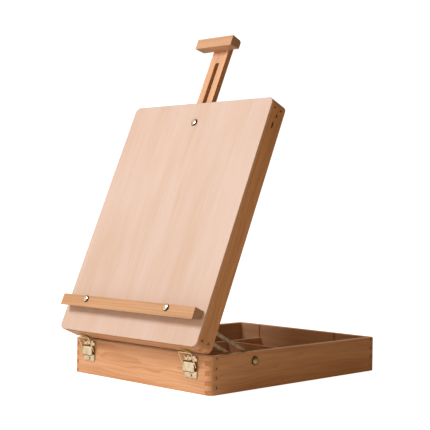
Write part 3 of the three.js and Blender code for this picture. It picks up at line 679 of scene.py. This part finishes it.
# Painted shade: the darker brown given to the mast's narrow sides and slot walls.
mast_side_shade = shade(184, 124, 72)
mast_ease = 0.8 * mm
mast_slot_half = 4.3 * mm
mast_slot_web = 19.5 * mm
mast_slot_slack = 1 * mm
clamp_bolt_radius = 3 * mm
head_low, _ = lid_spread("mast_head")
clamp_low, clamp_high = lid_spread("mast_clamp_bolt")
clamp_up = (clamp_low[1] + clamp_high[1]) / 2
slot_top = head_low[1] - mast_slot_web
slot_bottom = clamp_up - joints["mast_slide"]["range_m"][1] - clamp_bolt_radius - mast_slot_slack


def square_end(ray, half, ahead):
    """How far rays from the middle line go to a bar's side, or to its square end ahead."""
    side, up = np.maximum(np.abs(ray), 1e-9).T
    return np.minimum(half / side, ahead / up)


def round_end(ray, half, ahead):
    """The same for a round end: the far root of |r ray - centre| = half width."""
    side, up = np.maximum(np.abs(ray), 1e-9).T
    centre = ahead - half
    root = up * centre + np.sqrt(np.maximum((up * centre) ** 2 - centre ** 2 + half ** 2, 0))
    return np.where(half * up / side > centre, root, half / side)


def slotted_bar(bar, slot, bottom, top, ease, bar_end, slot_end):
    """A flat bar (half width, low end, high end) with a slot along its middle, given the same way.

    Rays fan out from the middle of each end of the slot. Along a ray the slot's edge and the
    bar's edge are each at their own reach, and a closed band between them is carried round.
    """
    starts, rays, reaches = [], [], []
    for sign, end in ((1, 2), (-1, 1)):
        start = slot[end] - sign * slot[0]
        ahead = abs(bar[end] - start)
        corner = np.arctan2(ahead, bar[0])
        turn = np.sort(np.append(np.linspace(0, np.pi, 25), [corner, np.pi - corner]))
        ray = sign * np.column_stack([np.cos(turn), np.sin(turn)])
        starts.append(np.column_stack([np.zeros(len(turn)), np.full(len(turn), start)]))
        rays.append(ray)
        reaches.append(np.column_stack([bar_end(ray, bar[0], ahead), slot_end(ray, slot[0], slot[0])]))
    start, ray, reach = (np.vstack([*fans, fans[0][:1]]) for fans in (starts, rays, reaches))
    z, inset = eased(bottom, top, ease, ease, steps=3)
    along_ray = np.hstack([reach[:, :1] - inset, reach[:, 1:] + inset[::-1]])
    flat = start[:, None] + ray[:, None] * along_ray[..., None]
    return np.dstack([flat, np.broadcast_to(np.append(z, z[::-1]), flat.shape[:2])])


mast_wood = wood("beech_mast", up_lid, X, mast_dark, mast_light, ledge_end, 41.0,
                 pith=X * 0.06 + out_lid * 0.1, figure=0.4, edge=mast_side_shade)
mast_grid = slotted_bar((mast_high[0], mast_low[1], mast_high[1]), (mast_slot_half, slot_bottom, slot_top),
                        mast_low[2], mast_high[2], mast_ease, square_end, square_end)
piece("mast_bar", [in_lid(mast_grid)], mast_wood, "mast", "mast", slot="beech_mast")

glued_ease = 0.1 * mm
for seed, name in enumerate(["mast_guide_left", "mast_guide_right"]):
    low, high = lid_spread(name)
    grid = prism(rectangle(low[0], high[0], low[1], high[1]), mast_ease, low[2], high[2],
                 (mast_ease, glued_ease), steps=3)
    guide_wood = wood("beech_" + name, up_lid, X, *front_tones, seed + 51.0, figure=0.5)
    piece(name + "_wood", [in_lid(grid)], guide_wood, "lid", name, slot="beech_boards")

# ---- Bolts, washers, nuts and screws --------------------------------------------------------
# Bright domed coach bolts through ledge, board and tray sides, their shanks threaded, with turned
# brass washers and cast brass wing nuts behind them.


patch_scale = 140.0
scratch_scale = 900.0
scratch_depth = 0.05 * mm


def metal(name, colour, dull, rough, seed, axis=None, rim=None):
    """Polished metal: slow noise dulls it in patches, and fine noise gives the polish's scratches.

    On a head that faces an axis, the sides that turn away from it take the rim colour: painted dark
    reflection and painted shade.
    """
    material, shader, place, normal = surface(name)
    patch = place.node("TexNoise", {"noise_dimensions": "4D"},
                       {"Vector": place, "W": seed, "Scale": patch_scale, "Detail": 3.0})
    scratch = place.node("TexNoise", {"noise_dimensions": "4D"},
                         {"Vector": place, "W": seed + 3, "Scale": scratch_scale, "Detail": 2.0})
    tint = patch.step(0.35, 0.75).blend(colour, dull)
    if axis is not None:
        # Painted dark reflection and painted shade on the sides turned away from the axis.
        tint = normal.along(axis).step(0.92, 0.72).blend(tint, rim)
    tint.into(shader.inputs["Base Color"])
    (patch * 0.16 + scratch * 0.08 + (rough - 0.1)).into(shader.inputs["Roughness"])
    bump = scratch.node("Bump", links={"Strength": 0.15, "Distance": scratch_depth, "Height": scratch})
    bump.into(shader.inputs["Normal"])
    shader.inputs["Metallic"].default_value = 1.0
    return material


# Each rim colour below is painted dark reflection and painted shade on the sides turned away from the axis.
brass = metal("polished_brass", shade(255, 248, 222), shade(232, 216, 168), 0.2, 1.0,
              axis=-Y, rim=shade(132, 108, 56))
wire_brass = metal("wire_brass", shade(255, 246, 208), shade(240, 218, 156), 0.22, 8.0)
screw_brass = metal("screw_brass", shade(250, 244, 224), shade(222, 208, 166), 0.2, 7.0,
                    axis=-Y, rim=shade(66, 52, 28))
brass_dark = metal("plain_brass", shade(222, 206, 152), shade(176, 154, 104), 0.3, 2.0)
nickel = metal("bright_nickel", shade(255, 252, 244), shade(226, 220, 206), 0.16, 3.0,
               axis=out_lid, rim=shade(74, 48, 30))
side_brass = metal("side_brass", shade(214, 200, 150), shade(160, 146, 98), 0.24, 5.0,
                   axis=X, rim=shade(96, 82, 48))
plate_nickel = metal("screw_nickel", shade(255, 250, 234), shade(228, 218, 196), 0.16, 6.0,
                     axis=-Y, rim=shade(120, 104, 70))
steel = metal("drawn_steel", shade(200, 180, 150), shade(164, 146, 116), 0.4, 4.0)


def lathe(radii, heights, sides):
    """A profile turned about the axis: the place at angle t is (r cos t, r sin t, h)."""
    t = np.linspace(0, 2 * np.pi, sides, endpoint=False)
    radii = np.asarray(radii, float)
    radii = radii[:, None] if radii.ndim == 1 else radii
    h = np.broadcast_to(np.asarray(heights, float)[:, None], (len(heights), sides))
    return np.stack([radii * np.cos(t), radii * np.sin(t), h], axis=2)


bolt_sides = 32
bolt_tip_taper = 0.6 * mm
thread_pitch = 0.8 * mm
thread_depth = 0.32 * mm
head_rim_ease = 0.25 * mm


def bolt_grid(head, shank, length, dome, threaded):
    """A domed bolt, its head's seat at height 0, threaded from its tip.

    The thread is a wave: radius = shank - depth (1 + cos(2 pi height / pitch - t)) / 2. At angle
    a the dome is at head cos(a)^0.8, and sin(a)^0.8 of the way up from its upright edge.
    """
    t = np.linspace(0, 2 * np.pi, bolt_sides, endpoint=False)
    turns = np.linspace(-length + 0.5 * mm, -length + threaded, max(2, int(6 * threaded / thread_pitch)))
    worn = thread_depth * (1 + np.cos(2 * np.pi * turns[:, None] / thread_pitch - t)) / 2
    a = np.linspace(0, np.pi / 2, 14)
    edge = 0.16 * dome
    profile = [0, shank - bolt_tip_taper, shank, head - head_rim_ease, head, *head * np.cos(a) ** 0.8]
    radii = np.outer(profile, np.ones(bolt_sides))
    heights = np.concatenate([[-length, -length], turns, [0, 0, 0.2 * mm],
                              edge + (dome - edge) * np.sin(a) ** 0.8])
    return lathe(np.vstack([radii[:2], shank - worn, radii[2:]]), heights, bolt_sides)


def ring_grid(outer, inner, low, high, ease):
    """A flat ring: a rounded rectangle of radius and height carried once round the axis."""
    section, _ = bent(rectangle(inner, outer, low, high), ease, steps=3)
    t = np.linspace(0, 2 * np.pi, 49)[:, None]
    return np.stack([section[:, 0] * np.cos(t), section[:, 0] * np.sin(t),
                     np.broadcast_to(section[:, 1], (len(t), len(section)))], axis=2)


def axes_about(axis):
    """Two directions square to an axis, and the axis."""
    axis = np.asarray(axis, float) / np.linalg.norm(axis)
    first = np.cross(axis, Z if abs(axis[2]) < 0.9 else X)
    first /= np.linalg.norm(first)
    return first, np.cross(axis, first), axis


def on_axis(grid, seat, axis):
    return placed(grid, seat, *axes_about(axis))


def seat_and_size(node, axis):
    """Where a turned CAD node starts on its axis, its length along the axis and its radius."""
    first, second, axis = axes_about(axis)
    low, high = spread(node, (0, 0, 0), (first, second, axis))
    middle = (low + high) / 2
    foot = first * middle[0] + second * middle[1] + axis * low[2]
    return foot, high[2] - low[2], (high[0] - low[0]) / 2


def bolt(node, axis, shank, material, slot, body, threaded_share=0.6):
    foot, length, head = seat_and_size(node, axis)
    dome = head * dome_share
    seat = foot + (length - dome) * np.asarray(axis)
    grid = bolt_grid(head, shank, length - dome, dome, threaded_share * (length - dome))
    piece(node + "_turned", [on_axis(grid, seat, axis)], material, body, node, slot=slot)


dome_share = 0.5
hands = {"left": -1, "right": 1}
bolt("mast_clamp_bolt", out_lid, clamp_bolt_radius, nickel, "nickel_domes", "lid")
for hand, sign in hands.items():
    bolt("ledge_bolt_" + hand, out_lid, 2.5 * mm, nickel, "nickel_domes", "lid", threaded_share=0.4)
    bolt("stay_clamp_bolt_" + hand, sign * X, 2 * mm, side_brass if sign > 0 else brass_dark,
         "brass_hardware", "tray")


def washer(node, axis, bore, body):
    foot, length, radius = seat_and_size(node, axis)
    grid = ring_grid(radius, bore, 0, length, 0.25 * mm)
    piece(node + "_turned", [on_axis(grid, foot, axis)], brass_dark, body, node, slot="brass_hardware")


washer("mast_clamp_washer", -out_lid, 3.2 * mm, "lid")
sixths = np.arange(6) * np.pi / 3
for hand, sign in hands.items():
    washer("stay_washer_" + hand, -sign * X, 2.2 * mm, "tray")
    foot, length, radius = seat_and_size("ledge_nut_" + hand, -out_lid)
    corners = radius * np.column_stack([np.cos(sixths), np.sin(sixths)])
    grid = prism(corners, 0.4 * mm, 0, length, 0.5 * mm, steps=3)
    piece(f"ledge_nut_{hand}_turned", [on_axis(grid, foot, -out_lid)], brass_dark, "lid",
          "ledge_nut_" + hand, slot="brass_hardware")


hub_radius, hub_ease = 4.6 * mm, 0.6 * mm
wing_root = 1.4 * mm


def wing_nut(node, axis, wings, bore, body):
    """A cast wing nut: a tapering hub and two wings, run together by remeshing.

    A wing is an oval section carried outwards: at share s of its reach, its centre rises with s,
    and the oval's two half axes fade to nothing at the tip as the root of 1 - s^8.
    """
    first, second, axis = axes_about(axis)
    low, high = spread(node, (0, 0, 0), (first, second, axis))
    middle = (low + high) / 2
    foot = first * middle[0] + second * middle[1] + axis * low[2]
    tall = high[2] - low[2]
    reach = max((high - low)[:2]) / 2
    root = bore + wing_root
    fan = np.cross(axis, wings)
    hub = ring_grid(hub_radius, bore + 0.2 * mm, 0, 0.66 * tall, hub_ease)
    hub[..., :2] *= (1 - 0.2 * hub[..., 2:] / tall)
    s = np.linspace(0, 1, 24)[:, None]
    t = np.linspace(0, 2 * np.pi, 24, endpoint=False)[None]
    fade = np.sqrt(np.maximum(1 - s ** 8, 0))
    out = root + (reach - root) * s
    rise = tall * (0.34 + 0.26 * s)
    half_tall = tall * (0.3 + 0.1 * np.sin(np.pi * s * 0.8)) * fade
    half_thick = (1.5 - 0.5 * s) * mm * fade
    wing = np.stack([np.broadcast_to(out, (24, 24)), half_thick * np.cos(t),
                     rise + half_tall * np.sin(t)], axis=2)
    other = wing * [-1, -1, 1]
    grids = [placed(grid, foot, wings, fan, axis) for grid in (hub, wing, other)]
    made = piece(node + "_cast", grids, brass_dark, body, node, slot="brass_hardware")
    made.modifiers.clear()
    cast = made.modifiers.new("cast", "REMESH")
    cast.mode = "VOXEL"
    cast.voxel_size = 0.3 * mm
    cast.use_smooth_shade = True
    softened = made.modifiers.new("softened", "SMOOTH")
    softened.factor = 0.5
    softened.iterations = 4


wing_nut("mast_wing_nut", -out_lid, X, clamp_bolt_radius, "mast_wing_nut")
for hand, sign in hands.items():
    wing_nut("stay_wing_nut_" + hand, -sign * X, Y, 2 * mm, "stay_wing_nut_" + hand)

# ---- Stays ----------------------------------------------------------------------------------
# Two flat steel bars with round ends, each on a screw in a lid rail and slotted for the clamp
# bolt in the tray's side.

stay_slot_half = 5.6 * mm
stay_slot_start = 20 * mm
stay_ease = 0.3 * mm
for hand in hands:
    pin = np.array(joints[f"stay_{hand}_swing"]["pos_m"])
    low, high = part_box("stay_clamp_bolt_" + hand)
    clamp = np.array((low + high) / 2)
    reach = (clamp - pin) * [0, 1, 1]
    reach /= np.linalg.norm(reach)
    wide = np.cross(reach, X)
    low, high = spread("stay_" + hand, pin, (wide, reach, X))
    half = high[0]
    slot = (stay_slot_half, stay_slot_start, high[1] - (half - stay_slot_half))
    grid = slotted_bar((half, low[1], high[1]), slot, low[2], high[2], stay_ease, round_end, round_end)
    piece(f"stay_{hand}_bar", [placed(grid, pin, wide, reach, X)], steel, f"stay_{hand}",
          f"stay_{hand}", slot="steel_stay")

# ---- Draw latches ---------------------------------------------------------------------------
# Pressed brass: a base plate with two cheeks for the pin and two rolled ears, a lever curled
# round the pin, a wire bail whose feet turn in through the lever's flanges, and its screws.

latch_pin_up = 47 * mm
latch_pin_out = 4.2 * mm
sheet = 1.2 * mm


def strip(path, half_width, thick, crown=0.0):
    """A bent strip: a flat section carried along a path of (out, up) places.

    Its half width may change along the path, and crown lifts its middle: out + crown (1 - (x / w)^2).
    """
    places, tangents = path
    outward = np.column_stack([tangents[:, 1], -tangents[:, 0]])
    width = np.broadcast_to(half_width, len(places))[:, None]
    share = np.linspace(-1, 1, 13)
    over = np.append(share, share[::-1])[None]
    depth = np.repeat([-0.5, 0.5], len(share))[None] * thick
    lift = depth + crown * (1 - over ** 2)
    flat = [places[:, k:k + 1] + outward[:, k:k + 1] * lift for k in (0, 1)]
    return np.stack([over * width, *flat], axis=2)


def wire(corners, bend, radius, binormal):
    """Round wire along a bent line: place + r (n cos t + b sin t), with b square to its plane."""
    places, tangents = bent(corners, bend, closed=False, steps=8)
    b = np.asarray(binormal, float)
    n = np.cross(b, tangents)
    t = np.linspace(0, 2 * np.pi, 14, endpoint=False)[None, :, None]
    return places[:, None] + radius * (n[:, None] * np.cos(t) + b * np.sin(t))


def small_screw(head, tall, shank, length):
    """A round-headed wood screw, its head's seat at height 0: r = head cos(a), h rises with sin(a)."""
    a = np.linspace(0, np.pi / 2, 8)
    radii = np.concatenate([[0, shank * 0.5, shank, shank, head], head * np.cos(a)])
    point = [-length, -length + 1.5 * mm, -length + 4 * mm]
    heights = np.concatenate([point, [0, 0], 0.2 * tall + 0.8 * tall * np.sin(a)])
    return lathe(radii, heights, 28)


def on_front(grid, middle, order=(0, 1, 2)):
    """A grid drawn across, out and up from the front board, put at its place along the board."""
    return placed(grid[..., list(order)], (middle, -half_depth, 0), X, -Y, Z)


def cheek_grid(out, up, inner, outer, corner, ease):
    """A small upright plate across the board, given by its reaches outwards, upwards and sideways."""
    return prism(rectangle(*out, *up), corner, min(inner, outer), max(inner, outer), ease)


curl_radius = 2.2 * mm
lever_foot = 34.6 * mm
lever_neck, lever_wide = 11.1 * mm, 12.2 * mm
neck_up, neck_end, neck_fade = 44 * mm, 43.6 * mm, 1.2 * mm
lip_out, lip_drop = 0.9 * mm, 1.6 * mm
foot_corner = 1.5 * mm

lever_mid = curl_radius - sheet / 2
turn = np.radians(np.linspace(200, 0, 16))
lip = np.linspace(0, 1, 6)
curl = np.column_stack([latch_pin_out + lever_mid * np.cos(turn), latch_pin_up + lever_mid * np.sin(turn)])
down = np.column_stack([np.full(16, latch_pin_out + lever_mid),
                        np.linspace(latch_pin_up - 0.6 * mm, lever_foot, 16)])
flick = np.column_stack([latch_pin_out + lever_mid + lip_out * lip ** 2, lever_foot - lip_drop * lip])
flick_way = np.column_stack([-2 * lip_out * lip, lip_drop * np.ones(6)])
flick_way /= np.linalg.norm(flick_way, axis=1, keepdims=True)
lever_line = (np.vstack([curl, down, flick[1:]]),
              np.vstack([np.column_stack([-np.sin(turn), np.cos(turn)]), np.tile([0.0, 1.0], (16, 1)),
                         flick_way[1:]]))
height = lever_line[0][:, 1]
below_neck = np.clip((neck_end - height) / neck_fade, 0, 1) * (height < neck_up)
rounded = np.clip((lever_foot - height) / lip_drop, 0, 1)
lever_half = (lever_neck + (lever_wide - lever_neck) * below_neck ** 2 * (3 - 2 * below_neck)
              - foot_corner * (1 - np.sqrt(1 - rounded ** 2 * 0.98)))

bail_wire = 0.9 * mm
bail_foot, bail_hip = 10.4 * mm, 13.7 * mm
bail_low = np.array([3.6, 40.5]) * mm
bail_top = np.array([15.0, 63.6]) * mm
lean = (bail_top - bail_low) / np.linalg.norm(bail_top - bail_low)
bail_corners = [(-bail_foot, *bail_low), (-bail_hip, *bail_low), (-bail_hip, *bail_top),
                (bail_hip, *bail_top), (bail_hip, *bail_low), (bail_foot, *bail_low)]
bail_bends = [1.4 * mm, 2 * mm, 2 * mm, 1.4 * mm]
catch_half, catch_sheet = 7 * mm, 1 * mm
catch_line = bent([(0.8 * mm, 19 * mm), (0.8 * mm, 6.5 * mm), (4.0 * mm, 6.5 * mm), (4.0 * mm, 9 * mm)],
                  0.9 * mm, closed=False, steps=5)
ear_heights = np.array([0, 0, 0.3, 3.4, 3.7, 3.7]) * mm
ear_radii = np.array([0, 1.1, 1.4, 1.4, 1.1, 0]) * mm
ear_starts = {-1: -13.3 * mm, 1: 9.6 * mm}
plate_corner, plate_ease = 2 * mm, 0.3 * mm
plate_out = (0.3 * mm, 1.5 * mm)
cheek_out, cheek_up, cheek_across = (1.2 * mm, 6.6 * mm), (44.2 * mm, 49.8 * mm), (11.5 * mm, 12.4 * mm)
cheek_corner, cheek_ease = 1.3 * mm, 0.2 * mm
flange_out, flange_up, flange_across = (2.1 * mm, 5.9 * mm), (38.2 * mm, 42.6 * mm), (11.0 * mm, 12.2 * mm)
flange_corner, flange_ease = 1.2 * mm, 0.15 * mm
ear_out, ear_drop = 2.0 * mm, 1.6 * mm
latch_screws = [("low", 2.6 * mm, 1.3 * mm, screw_brass), ("top", 4 * mm, 2 * mm, plate_nickel)]
screw_shank = 1.3 * mm

for hand in hands:
    low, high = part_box("latch_plate_" + hand)
    middle = (low.x + high.x) / 2
    plate_half = (high.x - low.x) / 2
    plate = prism(rectangle(-plate_half, plate_half, low.z, high.z), plate_corner, *plate_out, plate_ease)
    plate_parts = [on_front(plate, middle, (0, 2, 1))]
    lever = [on_front(strip(lever_line, lever_half, sheet, 0.25 * mm), middle)]
    for side, ear_start in ear_starts.items():
        cheek = cheek_grid(cheek_out, cheek_up, side * cheek_across[0], side * cheek_across[1],
                           cheek_corner, cheek_ease)
        plate_parts.append(on_front(cheek, middle, (2, 0, 1)))
        ear_seat = (middle + ear_start, -half_depth - ear_out, high.z - ear_drop)
        plate_parts.append(placed(lathe(ear_radii, ear_heights, 20), ear_seat, Y, Z, X))
        flange = cheek_grid(flange_out, flange_up, side * flange_across[0], side * flange_across[1],
                            flange_corner, flange_ease)
        lever.append(on_front(flange, middle, (2, 0, 1)))
    piece(f"latch_{hand}_plate", plate_parts, brass, "tray", "latch_plate_" + hand, slot="brass_hardware")
    piece(f"latch_{hand}_lever", lever, brass, "latch_lever_" + hand, "latch_lever_" + hand,
          slot="brass_hardware")
    bail = wire(bail_corners, bail_bends, bail_wire, (0, lean[1], -lean[0]))
    piece(f"latch_{hand}_bail", [on_front(bail, middle)], wire_brass, "latch_bail_" + hand,
          "latch_bail_" + hand, slot="brass_hardware")

    for which, head, tall, polish in latch_screws:
        node = f"latch_{which}_screw_{hand}"
        foot, length, _ = seat_and_size(node, -Y)
        grid = small_screw(head, tall, screw_shank, length - tall)
        piece(node + "_turned", [on_axis(grid, foot - (length - tall) * Y, -Y)], polish, "tray", node,
              slot="brass_hardware")

    catch = strip(catch_line, catch_half, catch_sheet)
    piece(f"latch_{hand}_catch", [placed(catch, lid_origin + X * middle, X, -up_lid, out_lid)], brass_dark,
          "lid", "latch_catch_" + hand, slot="brass_hardware")

# ---- Small fasteners kept from the frame ----------------------------------------------------
# Latch pins, catch screws, the stays' lid screws and the two long screws of the mast's head.

for name, node in frame["nodes"].items():
    if not node.hide_render:
        node.data.materials.clear()
        node.data.materials.append(brass_dark)
